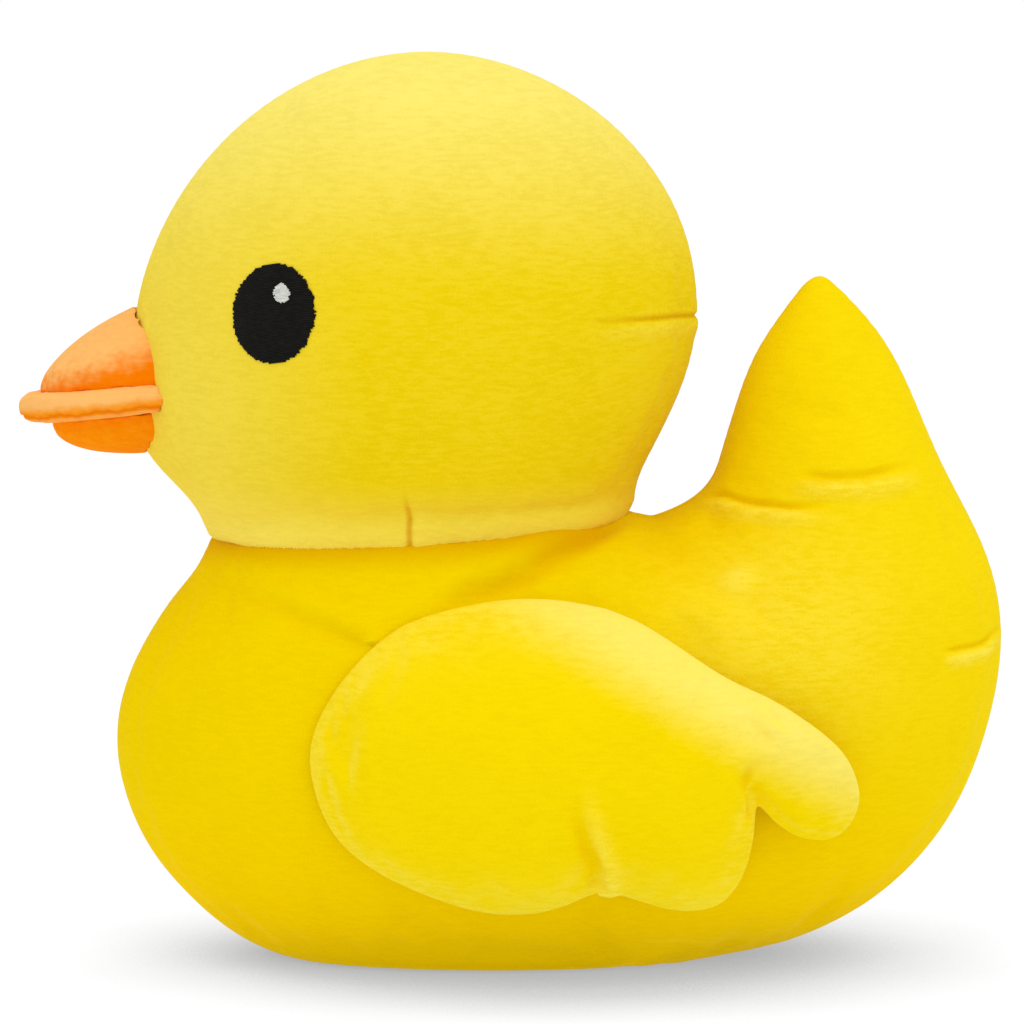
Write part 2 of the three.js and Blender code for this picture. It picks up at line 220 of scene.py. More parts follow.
def along_and_up(tree, place):
    """How far back and how far up a place is, in millimetres."""
    return [
        tree.node("ShaderNodeSeparateXYZ", None, {0: place}, output=axis) / MM for axis in (1, 2)
    ]


def above_lip(y, z):
    """How far a place lies above the plane of the bill's lip, in millimetres."""
    return z - BILL_ROOT[1] - BILL_SLOPE * (y - BILL_ROOT[0])


def pile(tree, place, nub):
    """The look of short pile with nubs of a size: a tone from 0 to 1, and its height."""
    clouds = tree.noise(place, 24.0, 1.0)
    rows = tree.noise(place, 1.0, 1.0, 0.5, stretch=(4.5, 4.5, 1.0))
    tufts = tree.noise(place, nub, 1.0)
    tone = 0.25 * clouds + 0.5 * rows + 0.25 * tufts
    return tone, 0.8 * rows + 0.7 * tufts


def cover(tree, colour, tone, height, painted_shade_colour, painted_light_colour, sheen, grain):
    """Closes a pile material: its tone, painted shade in its creases and painted highlights
    on its lips, sheen and grain.
    """
    # The attribute read here holds painted shade (above 0) and painted highlights (below 0)
    painted_shade_and_light = tree.node("ShaderNodeAttribute", {"attribute_name": "painted_shade_and_light"}, None, output="Fac")
    lightness = tree.between(tone, 0.34, 0.62)
    tint = tree.mix(lightness, rgba(238, 235, 222), rgba(255, 255, 255))
    toned = tree.node(
        "ShaderNodeMix",
        {"data_type": "RGBA", "blend_type": "MULTIPLY"},
        {0: grain, 6: colour, 7: tint},
        output=2,
    )
    # Painted shade: the creases darken towards the shade colour
    with_painted_shade = tree.mix(painted_shade_and_light, toned, rgba(*painted_shade_colour))
    # Painted highlight on the lips, stronger where the tone is lighter
    painted_light_share = (0.0 - painted_shade_and_light) * (0.4 + 1.2 * lightness)
    with_painted_light = tree.mix(painted_light_share, with_painted_shade, rgba(*painted_light_colour))
    constants = {
        "Sheen Weight": sheen,
        "Sheen Roughness": 0.3,
        "Sheen Tint": rgba(255, 250, 200),
        "Specular IOR Level": 0.0,
    }
    surface(tree, with_painted_light, 0.95, height, grain, 0.4, constants)


def yellow_pile(name, low, middle, high, heights, rear, front, flecks, sheen, grain):
    """Yellow pile whose colour changes from low to middle to high, over the two ranges of
    height in heights. High is a painted highlight on the top, where the light falls from above,
    and low is painted light and shade on the lower part: painted bounce light on the head and
    wings, painted shade on the body. Rear lets the painted highlight reach lower towards the
    tail, front lets it cover the breast or face, and flecks is the share of pale fibres, which
    show more under the painted highlight."""
    material, tree, place = finish_of(name, "yellow_plush")
    tone, height = pile(tree, place, 0.75)
    along, level = along_and_up(tree, place)
    up = level + 9.0 * (tone - 0.5)
    # Painted light and shade on the lower part, from the low colour up to the middle one
    lower = tree.mix(tree.between(up, heights[0], heights[1]), rgba(*low), rgba(*middle))
    # Painted highlight: the high colour over the top, reaching lower towards the tail and over the
    # front
    highlight_share = tree.between(up + rear * along, heights[2], heights[3])
    raised = tree.mix(highlight_share, lower, rgba(*high))
    with_front_highlight = tree.mix(front * tree.between(along, -35.0, -92.0), raised, rgba(*high))
    # Pale fibres, which are stronger under the painted highlight
    fleck_and_highlight_share = flecks * (0.3 + 0.7 * highlight_share) * tree.between(tone, 0.4, 0.66)
    colour = tree.mix(fleck_and_highlight_share, with_front_highlight, rgba(249, 223, 124))
    # Painted shade in the creases and a painted highlight on their lips
    cover(tree, colour, tone, height, (222, 158, 0), (254, 234, 84), sheen, grain)
    return material


def orange_pile(name, kind):
    """Nubby orange pile: a pale painted highlight on top of the bill and of the lip, painted shade
    in deep orange beside the lip, and deep orange under it.
    """
    material, tree, place = finish_of(name, "orange_plush")
    tone, height = pile(tree, place, 1.0)
    along, up = along_and_up(tree, place)
    above = above_lip(along, up)
    broken = tree.noise(place, 2.2, 1.0, stretch=(1.4, 1.4, 0.8))
    deep, mid, pale = rgba(252, 128, 0), rgba(253, 152, 22), rgba(255, 190, 108)
    # Upper bill: painted shade in deep orange near the lip, and a painted highlight with pale nubs on
    # top
    if kind == "upper":
        edge = above - 12.4 - 0.2 * (along + 98.0) + 7.0 * (broken - 0.5)
        nubs = tree.mix(tree.between(broken, 0.3, 0.7), rgba(254, 186, 104), pale)
        colour = tree.mix(tree.between(edge, -5.0, 5.0), deep, nubs)
    elif kind == "lip":
        wavy = above + 2.4 * (broken - 0.5)
        # Lip: a painted highlight on its top
        upper = tree.mix(tree.between(wavy, -1.9, 1.4), mid, pale)
        past_groove = tree.between(above, LIP_GROOVE - 0.7, LIP_GROOVE)
        colour = tree.mix(past_groove, rgba(254, 174, 84), upper)
    else:
        nubs = tree.between(broken, 0.35, 0.65)
        colour = tree.mix(nubs, rgba(253, 142, 4), rgba(254, 149, 14))
    # Painted shade in the creases and a painted highlight on their lips
    cover(tree, colour, tone, height, (240, 118, 0), (255, 196, 120), 0.05, 0.3)
    return material


def thread(name, slot, dark, light):
    """Satin thread, a little glossy along its length."""
    material, tree, place = finish_of(name, slot)
    strands = tree.noise(place, 0.35, 2.0, 0.5, stretch=(6.0, 6.0, 1.0))
    colour = tree.mix(tree.between(strands, 0.35, 0.65), rgba(*dark), rgba(*light))
    gloss = 0.5 + 0.16 * strands
    constants = {"Specular IOR Level": 0.08}
    surface(tree, colour, gloss, strands, 0.4, 0.12, constants)
    return material


def points_of(mesh):
    points = np.empty(len(mesh.vertices) * 3, np.float32)
    mesh.vertices.foreach_get("co", points)
    return points.reshape(-1, 3).astype(float)


def normals_of(mesh):
    normals = np.empty(len(mesh.vertices) * 3, np.float32)
    mesh.vertex_normals.foreach_get("vector", normals)
    return normals.reshape(-1, 3).astype(float)


def set_points(mesh, points):
    mesh.vertices.foreach_set("co", points.astype(np.float32).ravel())
    mesh.update()


def ease(value):
    """0 up to 0, 1 from 1, and a soft step between."""
    clamped = np.clip(value, 0.0, 1.0)
    return clamped * clamped * (3.0 - 2.0 * clamped)


def new_object(name, mesh):
    piece = bpy.data.objects.new(name, mesh)
    bpy.context.scene.collection.objects.link(piece)
    return piece


def settle(piece):
    """Turns a piece with its modifiers into a plain mesh."""
    bpy.context.view_layer.update()
    graph = bpy.context.evaluated_depsgraph_get()
    mesh = bpy.data.meshes.new_from_object(piece.evaluated_get(graph))
    piece.modifiers.clear()
    piece.data = mesh
    return piece


def on_neck(y, z):
    """How far a point lies above the plane of the neck seam, in millimetres."""
    slope = (NECK_BACK[1] - NECK_FRONT[1]) / (NECK_BACK[0] - NECK_FRONT[0])
    return z - NECK_FRONT[1] - slope * (y - NECK_FRONT[0])


def smooth_solid(node, name, levels, sharp=math.pi):
    """A rounded copy of a CAD solid, where edges that turn more than sharp are kept."""
    bm = bmesh.new()
    bm.from_mesh(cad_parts[node].data)
    bmesh.ops.remove_doubles(bm, verts=bm.verts, dist=0.001 * MM)
    bmesh.ops.join_triangles(
        bm,
        faces=bm.faces,
        angle_face_threshold=math.radians(40),
        angle_shape_threshold=math.radians(70),
    )
    creases = bm.edges.layers.float.new("crease_edge")
    for edge in bm.edges:
        if len(edge.link_faces) == 2 and edge.calc_face_angle() > sharp:
            edge[creases] = 1.0
    mesh = bpy.data.meshes.new(name)
    bm.to_mesh(mesh)
    bm.free()
    piece = new_object(name, mesh)
    rounding = piece.modifiers.new("Rounding", "SUBSURF")
    rounding.levels = rounding.render_levels = levels
    return settle(piece)


def fabric(node, name, cell, levels=2):
    """The CAD solid's rounded shape as an even net of cells, fit for the cloth simulation."""
    piece = smooth_solid(node, name, levels, 0.5)
    source = BVHTree.FromObject(piece, bpy.context.evaluated_depsgraph_get())
    net = piece.modifiers.new("Net", "REMESH")
    net.mode = "VOXEL"
    net.voxel_size = cell * MM
    net.use_smooth_shade = True
    settle(piece)
    put_back(piece, source, np.ones(len(piece.data.vertices)))
    return piece, source


def put_back(piece, source, share):
    """Moves points back onto the solid's rounded shape, each by its share of the way."""
    points = points_of(piece.data)
    for i in np.nonzero(share > 0.01)[0]:
        nearest = source.find_nearest(Vector(points[i]))[0]
        points[i] += (np.array(nearest) - points[i]) * share[i]
    set_points(piece.data, points)


def fill(piece, held, slack=SLACK):
    """Stuffs a slack skin: it starts slack inside its full size, the held parts stay put, and
    pressure pushes the rest out until it has gone that far."""
    full = points_of(piece.data)
    free = 1.0 - held
    start = full - normals_of(piece.data) * (slack * MM * free)[:, None]
    set_points(piece.data, start)
    group = piece.vertex_groups.new(name="held")
    for i, weight in enumerate(held):
        group.add([i], float(weight), "REPLACE")
    cloth = piece.modifiers.new("Filling", "CLOTH")
    cloth.settings.quality = 5
    cloth.settings.vertex_group_mass = group.name
    cloth.settings.use_pressure = True
    cloth.settings.uniform_pressure_force = STUFFING
    cloth.settings.mass = CLOTH_MASS
    cloth.settings.tension_stiffness = STIFFNESS
    cloth.settings.compression_stiffness = STIFFNESS
    cloth.settings.bending_stiffness = BENDING
    cloth.settings.shrink_min = -LOOSENESS
    cloth.settings.effector_weights.gravity = 0.0
    cloth.collision_settings.use_collision = False
    scene = bpy.context.scene
    for step in range(1, FILL_FRAMES + 1):
        scene.frame_set(step)
    graph = bpy.context.evaluated_depsgraph_get()
    pushed = points_of(piece.evaluated_get(graph).data)
    piece.modifiers.clear()
    piece.vertex_groups.clear()
    scene.frame_set(1)
    move = pushed - start
    length = np.linalg.norm(move, axis=1)
    limit = slack * MM * free
    share = np.minimum(1.0, limit / np.maximum(length, 1e-9))
    set_points(piece.data, start + move * share[:, None])


def subdivide(piece, levels):
    finer = piece.modifiers.new("Finer", "SUBSURF")
    finer.levels = finer.render_levels = levels
    return settle(piece)


def to_left(points):
    """Points with those of the right side mirrored to the left."""
    return np.abs(points) * (1, 0, 0) + points * (0, 1, 1)


def by_the_seam(points):
    return np.abs(points[:, 0]) < SEAM_REACH * MM


def route(corners, steps=24):
    """A smooth line through a few places on the left side, in metres."""
    line = np.array(corners, float) * MM
    ends = np.vstack([2 * line[0] - line[1], line, 2 * line[-1] - line[-2]])
    made = []
    for share in np.linspace(0, len(line) - 1, steps):
        i = min(int(share), len(line) - 2)
        t = share - i
        a, b, c, d = ends[i:i + 4]
        made.append(0.5 * (2 * b + (c - a) * t + (2 * a - 5 * b + 4 * c - d) * t ** 2
                           + (3 * b - a - 3 * c + d) * t ** 3))
    return np.array(made)


def near_line(points, line):
    """For each point, the vector from the line to it and the share of the way along."""
    best = np.full(len(points), np.inf)
    away = np.zeros_like(points)
    along = np.zeros(len(points))
    for i in range(len(line) - 1):
        leg = line[i + 1] - line[i]
        if leg @ leg == 0:
            continue
        share = np.clip((points - line[i]) @ leg / (leg @ leg), 0, 1)
        vector = points - line[i] - share[:, None] * leg
        distance = np.linalg.norm(vector, axis=1)
        closer = distance < best
        best[closer] = distance[closer]
        away[closer] = vector[closer]
        along[closer] = (i + share[closer]) / (len(line) - 1)
    return best, away, along


class Fold:
    """A fold pressed into the fabric of both sides: a valley with a lip along one edge. Dark paints
    shade into the valley and light paints a highlight on the lip.
    """

    def __init__(self, corners, depth, width, lip=0.0, lip_width=2.0, lip_side=(0, 0, -1),
                 fades=(0.3, 0.3), dark=0.0, light=0.0, puckers=0.0):
        self.line = route(corners)
        self.depth = depth
        self.width = width
        self.lip = lip
        self.lip_width = lip_width
        self.lip_side = np.array(lip_side, float)
        self.fades = fades
        self.dark = dark
        self.light = light
        self.puckers = puckers

    def lie_on(self, piece):
        """Lays the crease on the stuffed skin."""
        skin = BVHTree.FromObject(piece, bpy.context.evaluated_depsgraph_get())
        self.line = np.array([skin.find_nearest(Vector(place))[0] for place in self.line])

    def press(self, points, painted_shade_and_light):
        """How far each point moves along its normal, in metres. The valley adds to the painted shading
        as painted shade, and the lip takes from it as a painted highlight."""
        best, away, along = near_line(to_left(points), self.line)
        start, end = self.fades
        taper = ease(along / start) if start else 1.0
        taper = taper * (ease((1 - along) / end) if end else 1.0)
        side = np.sign(away @ self.lip_side) * best / MM
        valley = np.exp(-(side / self.width) ** 2)
        raised = np.exp(-((side - self.width - self.lip_width) / self.lip_width) ** 2)
        length = np.linalg.norm(self.line[-1] - self.line[0]) / MM
        waves = np.sin(along * length / STITCH_WAVE * 2 * math.pi) * np.exp(-(side / 3.5) ** 2)
        # Painted shade in the valley and a painted highlight on the lip
        painted_shade_and_light += taper * (self.dark * valley - self.light * raised)
        return (self.lip * raised - self.depth * valley + self.puckers * waves) * taper * MM


# Creases of the head: a dart from the back seam and a short one up from the neck
HEAD_FOLDS = [
    Fold([(0, 51.5, 177.6), (11, 49.8, 178), (26.8, 44.3, 178.6), (37.7, 37.3, 178.7),
          (50.2, 25, 178.6), (53.5, 19, 178.2)],
         0.8, 0.7, lip=0.5, lip_width=2.2, fades=(0, 0.45), dark=0.6, light=0.2, puckers=0.12),
    Fold([(52.4, -26.8, 117.3), (54.5, -27, 124), (56.8, -27.2, 127.8), (60.4, -28.5, 136.5)],
         1.1, 0.75, lip=0.25, lip_width=1.8, lip_side=(0, 1, 0), fades=(0, 0.5), dark=0.6,
         light=0.2, puckers=0.1),
]

# Creases of the body: rump dart, two folds at the root of the tail, and two below the neck
BODY_FOLDS = [
    Fold([(0, 136, 93), (18.2, 132.1, 91.3), (25.5, 128.7, 89.8), (35.3, 121.3, 89.4),
          (41, 115.4, 89.5)],
         0.7, 0.8, lip=0.9, lip_width=1.8, fades=(0.4, 0.25), dark=0.35, light=0.45,
         puckers=0.08),
    Fold([(31, 74, 137.6), (33.8, 84.6, 136.6), (32.9, 93.6, 136.3), (29.5, 101.1, 137.1),
          (20, 112, 138.6)],
         1.5, 1.3, lip=1.8, lip_width=2.8, fades=(0.25, 0.3), dark=0.14, light=0.3),
    Fold([(8, 50, 129), (17.1, 56.5, 130), (28.6, 63.4, 130.2), (34.9, 71.1, 129.7),
          (37.7, 79.1, 129.2), (38, 91, 128.7)],
         1.3, 1.1, lip=1.2, lip_width=2.4, fades=(0.3, 0.35), dark=0.3, light=0.28),
    Fold([(30, -79, 109), (38.4, -72.9, 105.7), (48.3, -63, 102.6), (55.4, -53.4, 98.4),
          (61.3, -41.2, 94)],
         1.2, 2.4, lip=1.2, lip_width=3.4, lip_side=(0, 0, 1), fades=(0.6, 0.0), dark=0.1),
    Fold([(6, 32, 122), (28.1, 25.5, 121.5), (41.7, 17.2, 118.2), (49.8, 9.1, 114.5),
          (55.3, 1.1, 110.6), (59.3, -10.8, 107), (62, -22, 103)],
         1.9, 3.2, lip=1.0, lip_width=3.4, lip_side=(0, 0, 1), fades=(0.2, 0.3), dark=0.36),
]

# Spots of the body: each has a place and a radius
TAIL_BUMP = ((46.9, 60.2, 111.5), 5.8)
BUMP_HEIGHT = 1.1
# The patch below is a painted highlight where the brushed pile catches the light
PAINTED_HIGHLIGHT_PATCH = ((62, 74, 101), 30.0)  # brushed pile that catches the light
TAIL_TIP = ((0.0, 85.7, 187.8), 9.0)

# Creases of the wings: one up from each notch between the lobes, and one beside it
WING_FOLDS = [
    Fold([(73.4, 23.2, 28), (82.6, 21.2, 38), (86.8, 18.5, 46), (88.5, 16.7, 52.5),
          (89.7, 15.5, 64)],
         2.2, 2.0, lip=1.6, lip_width=2.3, lip_side=(0, 1, 0), fades=(0.0, 0.6), dark=0.1,
         light=0.3),
    Fold([(88.3, 8.9, 44), (89.7, 9.7, 58), (89.4, 10.2, 74)],
         0.9, 4.2, lip=0.5, lip_width=3.0, lip_side=(0, -1, 0), fades=(0.5, 0.5)),
    Fold([(74, 63.6, 51.5), (76.7, 63, 56), (80.4, 62.2, 60.5), (79.8, 64, 64), (79, 66.5, 67)],
         1.6, 1.8, lip=0.6, lip_width=2.4, lip_side=(0, -1, 0), fades=(0.0, 0.5), dark=0.14),
    Fold([(78.1, 60, 79.5), (78.4, 64.4, 75.5), (78.5, 67.3, 72.1), (78.6, 70.4, 67.5)],
         1.3, 1.8, lip=1.0, lip_width=2.4, lip_side=(0, 1, 0.5), fades=(0.4, 0.3), dark=0.12,
         light=0.3),
]
WING_HOLLOW = ((88.6, 30.2, 66.7), 12.0)
HOLLOW_DEPTH = 2.0
WING_SLACK = 1.2


def swell(points, centre, radius, power=2):
    """1 in the middle of a round spot on each side, falling to 0 around it."""
    distance = np.linalg.norm(to_left(points) - np.array(centre) * MM, axis=1) / MM
    return np.exp(-(distance / radius) ** power)


def refine(piece, folds, reach, extra=None):
    """Splits the cells that lie near a crease or a seam."""
    points = points_of(piece.data)
    near = np.zeros(len(points), bool) if extra is None else extra(points)
    for fold in folds:
        near |= near_line(to_left(points), fold.line)[0] < reach * MM
    bm = bmesh.new()
    bm.from_mesh(piece.data)
    bm.verts.ensure_lookup_table()
    edges = [e for e in bm.edges if near[e.verts[0].index] and near[e.verts[1].index]]
    bmesh.ops.subdivide_edges(bm, edges=edges, cuts=1, use_grid_fill=True, smooth=0.0)
    bm.to_mesh(piece.data)
    bm.free()


def centre_seam(points, middle, painted_shade_and_light):
    """A narrow groove where the two sides are sewn together, with painted shade in it and small
    gathers beside it, which are counted round a middle."""
    across = points[:, 0] / MM
    turn = np.arctan2(points[:, 2] / MM - middle[1], points[:, 1] / MM - middle[0])
    radius = np.hypot(points[:, 1] / MM - middle[0], points[:, 2] / MM - middle[1])
    groove = np.exp(-(across / SEAM_WIDTH) ** 2)
    # Painted shade in the seam's groove
    painted_shade_and_light += 0.4 * groove
    gathers = np.sin(turn * radius / GATHER_PITCH * 2 * math.pi) * np.exp(-(across / 4.0) ** 2)
    return (GATHER_HEIGHT * gathers - SEAM_DEPTH * groove) * MM


def keep_painted_shading(piece, painted_shade_and_light):
    """Stores the painted shading: painted shade where the fabric folds (above 0), and a painted
    highlight where it catches the light (below 0).
    """
    attribute = piece.data.attributes.new("painted_shade_and_light", "FLOAT", "POINT")
    attribute.data.foreach_set("value", painted_shade_and_light.astype(np.float32))


def shade_smooth(piece):
    piece.data.polygons.foreach_set("use_smooth", [True] * len(piece.data.polygons))


def dress(piece, material, nodes):
    """Gives a padded piece its fabric and lets it stand for its solid."""
    shade_smooth(piece)
    piece.data.materials.clear()
    piece.data.materials.append(material)
    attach(piece, "root")
    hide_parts(*nodes)


def seam_hold(points):
    """1 on the centre seam, falling to 0 where the skin is free."""
    return 1.0 - ease((np.abs(points[:, 0]) / MM - 2.0) / SILHOUETTE)


def head_hold(points):
    """1 on the head's seams, falling to 0 where its skin is free."""
    above = on_neck(points[:, 1] / MM, points[:, 2] / MM)
    return np.maximum(seam_hold(points), 1.0 - ease((above - 1.0) / 6.0))


def body_hold(points):
    """1 on the body's seams and base, falling to 0 where its skin is free."""
    below = -on_neck(points[:, 1] / MM, points[:, 2] / MM)
    neck = (1.0 - ease((below - 1.0) / 8.0)) * (points[:, 1] < NECK_REAR * MM)
    base = 1.0 - ease((points[:, 2] / MM - 1.0) / 8.0)
    return np.maximum(seam_hold(points), np.maximum(neck, base))


def make_head(material):
    """The head: a stuffed ball, flat at its neck seam."""
    piece, source = fabric("head", "head_plush", SKIN_CELL)
    fill(piece, head_hold(points_of(piece.data)))
    subdivide(piece, 2)
    put_back(piece, source, head_hold(points_of(piece.data)))
    refine(piece, HEAD_FOLDS, 5.0, by_the_seam)
    refine(piece, HEAD_FOLDS, 3.0)
    points = points_of(piece.data)
    painted_shade_and_light = np.zeros(len(points))
    above = on_neck(points[:, 1] / MM, points[:, 2] / MM)
    move = centre_seam(points, HEAD_MIDDLE, painted_shade_and_light)
    for fold in HEAD_FOLDS:
        fold.lie_on(piece)
        move += fold.press(points, painted_shade_and_light)
    move += RIM_ROLL * MM * np.exp(-((above - 3.0) / 2.5) ** 2)
    move[above < 0.3] = 0
    points = points + normals_of(piece.data) * (move + HEAD_PILE * MM)[:, None]
    points[:, 2] -= NECK_SINK * MM * (1 - ease(above / 3.0))
    set_points(piece.data, points)
    keep_painted_shading(piece, painted_shade_and_light)
    dress(piece, material, ["head"])
    return piece


def make_body(material):
    """The body and its tail: stuffed, and flat at the neck seam and the base."""
    piece, source = fabric("body", "body_plush", SKIN_CELL)
    fill(piece, body_hold(points_of(piece.data)))
    subdivide(piece, 2)
    put_back(piece, source, body_hold(points_of(piece.data)))
    refine(piece, BODY_FOLDS, 5.0, by_the_seam)
    points = points_of(piece.data)
    painted_shade_and_light = np.zeros(len(points))
    above = on_neck(points[:, 1] / MM, points[:, 2] / MM)
    at_neck = (points[:, 1] < NECK_REAR * MM) * (points[:, 2] > 100 * MM)
    shaded = (1 - ease(-above / 9.0)) * (1 - ease((points[:, 1] / MM - 14.0) / 20.0))
    move = centre_seam(points, BODY_MIDDLE, painted_shade_and_light)
    for fold in BODY_FOLDS:
        fold.lie_on(piece)
        move += fold.press(points, painted_shade_and_light)
    bump = swell(points, *TAIL_BUMP, 4)
    move += BUMP_HEIGHT * MM * bump
    # Painted highlight on the tail's bump and on a patch of the side
    painted_shade_and_light -= 0.3 * bump + 0.22 * swell(points, *PAINTED_HIGHLIGHT_PATCH)
    # Painted shade on the body under the head's overhang
    painted_shade_and_light += 0.65 * shaded * at_neck
    move += BODY_PILE * MM
    move[(above > -0.3) * at_neck] = 0
    move[points[:, 2] < 0.5 * MM] = 0
    points = points + normals_of(piece.data) * move[:, None]
    points[:, 2] += TIP_RISE * MM * swell(points, *TAIL_TIP)
    points[:, 2] = np.maximum(points[:, 2], 0.0)
    set_points(piece.data, points)
    keep_painted_shading(piece, painted_shade_and_light)
    dress(piece, material, ["body"])


def make_wing(side, material):
    """A wing: its outer panel is stuffed, its inner one and its rim stay put."""
    name = f"wing_{side}"
    sign = 1 if side == "left" else -1
    piece = smooth_solid(name, f"{name}_plush", 1)
    outward = normals_of(piece.data)[:, 0] * sign
    fill(piece, 1.0 - ease((outward - 0.2) / 0.6), WING_SLACK)
    subdivide(piece, 2)
    points = points_of(piece.data)
    normals = normals_of(piece.data)
    outer = ease((normals[:, 0] * sign + 0.1) / 0.5)
    painted_shade_and_light = np.zeros(len(points))
    move = np.zeros(len(points))
    for fold in WING_FOLDS:
        fold.lie_on(piece)
        move += fold.press(points, painted_shade_and_light)
    move -= HOLLOW_DEPTH * MM * swell(points, *WING_HOLLOW)
    set_points(piece.data, points + normals * (move * outer)[:, None])
    # A painted highlight along the wing's rim
    rim = np.exp(-((normals[:, 0] * sign - 0.45) / 0.22) ** 2)
    keep_painted_shading(piece, painted_shade_and_light * outer - 0.3 * rim)
    dress(piece, material, [name])


def make_bill():
    """The three padded bill pieces, which press into each other and into the face."""
    for part, share, sink in (("upper", 0.8, -1.5), ("lip", 0.7, 0.0), ("lower", 0.7, 1.5)):
        node = f"bill_{part}"
        piece, source = fabric(node, f"{node}_plush", BILL_CELL, 1)
        points = points_of(piece.data)
        at_face = ease((points[:, 1] / MM + 101.0) / 7.0)
        centre = 1.0 - ease((np.abs(points[:, 0]) / MM - 1.0) / 8.0)
        fill(piece, np.maximum(at_face, centre), BILL_SLACK)
        subdivide(piece, 1)
        points = points_of(piece.data)
        x, y, z = points.T / MM
        above = above_lip(y, z)
        if part == "lip":
            waver = 0.35 * np.sin(0.55 * y) + 0.2 * np.sin(1.3 * y + x)
            groove = np.exp(-((above - LIP_GROOVE - waver) / 0.6) ** 2)
            points -= normals_of(piece.data) * (GROOVE_DEPTH * MM * groove)[:, None]
            # Painted shade in the lip's groove
            painted_shade_and_light = 0.8 * groove
        else:
            near = ease((9.0 - np.abs(above)) / 5.0)
            points[:, 2] += sink * MM * near
            # Painted shade where the bill's pieces meet at the lip
            painted_shade_and_light = 0.5 * ease((6.0 - np.abs(above)) / 2.0)
        pressed = 0.35 if part == "lip" else 1.0
        points[:, 1] += pressed * FACE_SINK * MM * ease((points[:, 1] / MM + 103.0) / 6.0)
        set_points(piece.data, points)
        keep_painted_shading(piece, painted_shade_and_light)
        dress(piece, orange_pile(f"orange_pile_{part}", part), [node])


def satin_tree():
    """Rows of thread that fill an oval: the tree's inputs are its sizes."""
    group = bpy.data.node_groups.new("satin_rows", "GeometryNodeTree")
    face = group.interface
    sizes = ("Width", "Height", "Pitch", "Thread Radius", "Ragged")
    for name in sizes:
        face.new_socket(name, in_out="INPUT", socket_type="NodeSocketFloat")
    face.new_socket("Seed", in_out="INPUT", socket_type="NodeSocketInt")
    face.new_socket("Material", in_out="INPUT", socket_type="NodeSocketMaterial")
    face.new_socket("Geometry", in_out="OUTPUT", socket_type="NodeSocketGeometry")
    tree = Tree(group)
    given = group.nodes.new("NodeGroupInput")
    width, height, pitch, radius, ragged, seed, material = (
        Value(tree, given.outputs[i]) for i in range(7)
    )
    rows = height / pitch
    start = tree.node("ShaderNodeCombineXYZ", None, {"Y": -0.5 * height + 0.5 * pitch})
    step = tree.node("ShaderNodeCombineXYZ", None, {"Y": pitch})
    line = tree.node(
        "GeometryNodeMeshLine",
        {"mode": "OFFSET"},
        {"Count": rows, "Start Location": start, "Offset": step},
    )
    place = tree.node("GeometryNodeInputPosition")
    up = tree.node("ShaderNodeSeparateXYZ", None, {0: place}, output=1) / (0.5 * height)
    chord = (1.0 - up * up).root()
    jitter = tree.node(
        "FunctionNodeRandomValue", {"data_type": "FLOAT"}, {2: -1.0, 3: 1.0, 8: seed}, output=1
    )
    shift = tree.node(
        "FunctionNodeRandomValue", {"data_type": "FLOAT"}, {2: -1.0, 3: 1.0, 8: seed + 1}, output=1
    )
    half = 0.5 * width * chord + ragged * jitter
    scale = tree.node("ShaderNodeCombineXYZ", None, {"X": half, "Y": 1.0, "Z": 1.0})
    moved = tree.node("ShaderNodeCombineXYZ", None, {"X": ragged * shift})
    spots = tree.node("GeometryNodeSetPosition", None, {"Geometry": line, "Offset": moved})
    stitch = tree.node(
        "GeometryNodeCurvePrimitiveLine", None, {"Start": (-1.0, 0, 0), "End": (1.0, 0, 0)}
    )
    stitch = tree.node("GeometryNodeResampleCurve", None, {"Curve": stitch, "Count": 18})
    laid = tree.node(
        "GeometryNodeInstanceOnPoints", None, {"Points": spots, "Instance": stitch, "Scale": scale}
    )
    laid = tree.node("GeometryNodeRealizeInstances", None, {"Geometry": laid})
    section = tree.node(
        "GeometryNodeCurvePrimitiveCircle", None, {"Resolution": 7, "Radius": radius}
    )
    tubes = tree.node(
        "GeometryNodeCurveToMesh",
        None,
        {"Curve": laid, "Profile Curve": section, "Fill Caps": True},
    )
    painted = tree.node("GeometryNodeSetMaterial", None, {"Geometry": tubes, "Material": material})
    tree.node("NodeGroupOutput", None, {"Geometry": painted})
    return group


def run_tree(name, group, values):
    """Runs a geometry tree by itself and gives back its plain mesh."""
    piece = new_object(name, bpy.data.meshes.new(name))
    modifier = piece.modifiers.new("Rows", "NODES")
    modifier.node_group = group
    keys = {item.name: item.identifier for item in group.interface.items_tree}
    for label, value in values.items():
        modifier[keys[label]] = value
    return settle(piece)


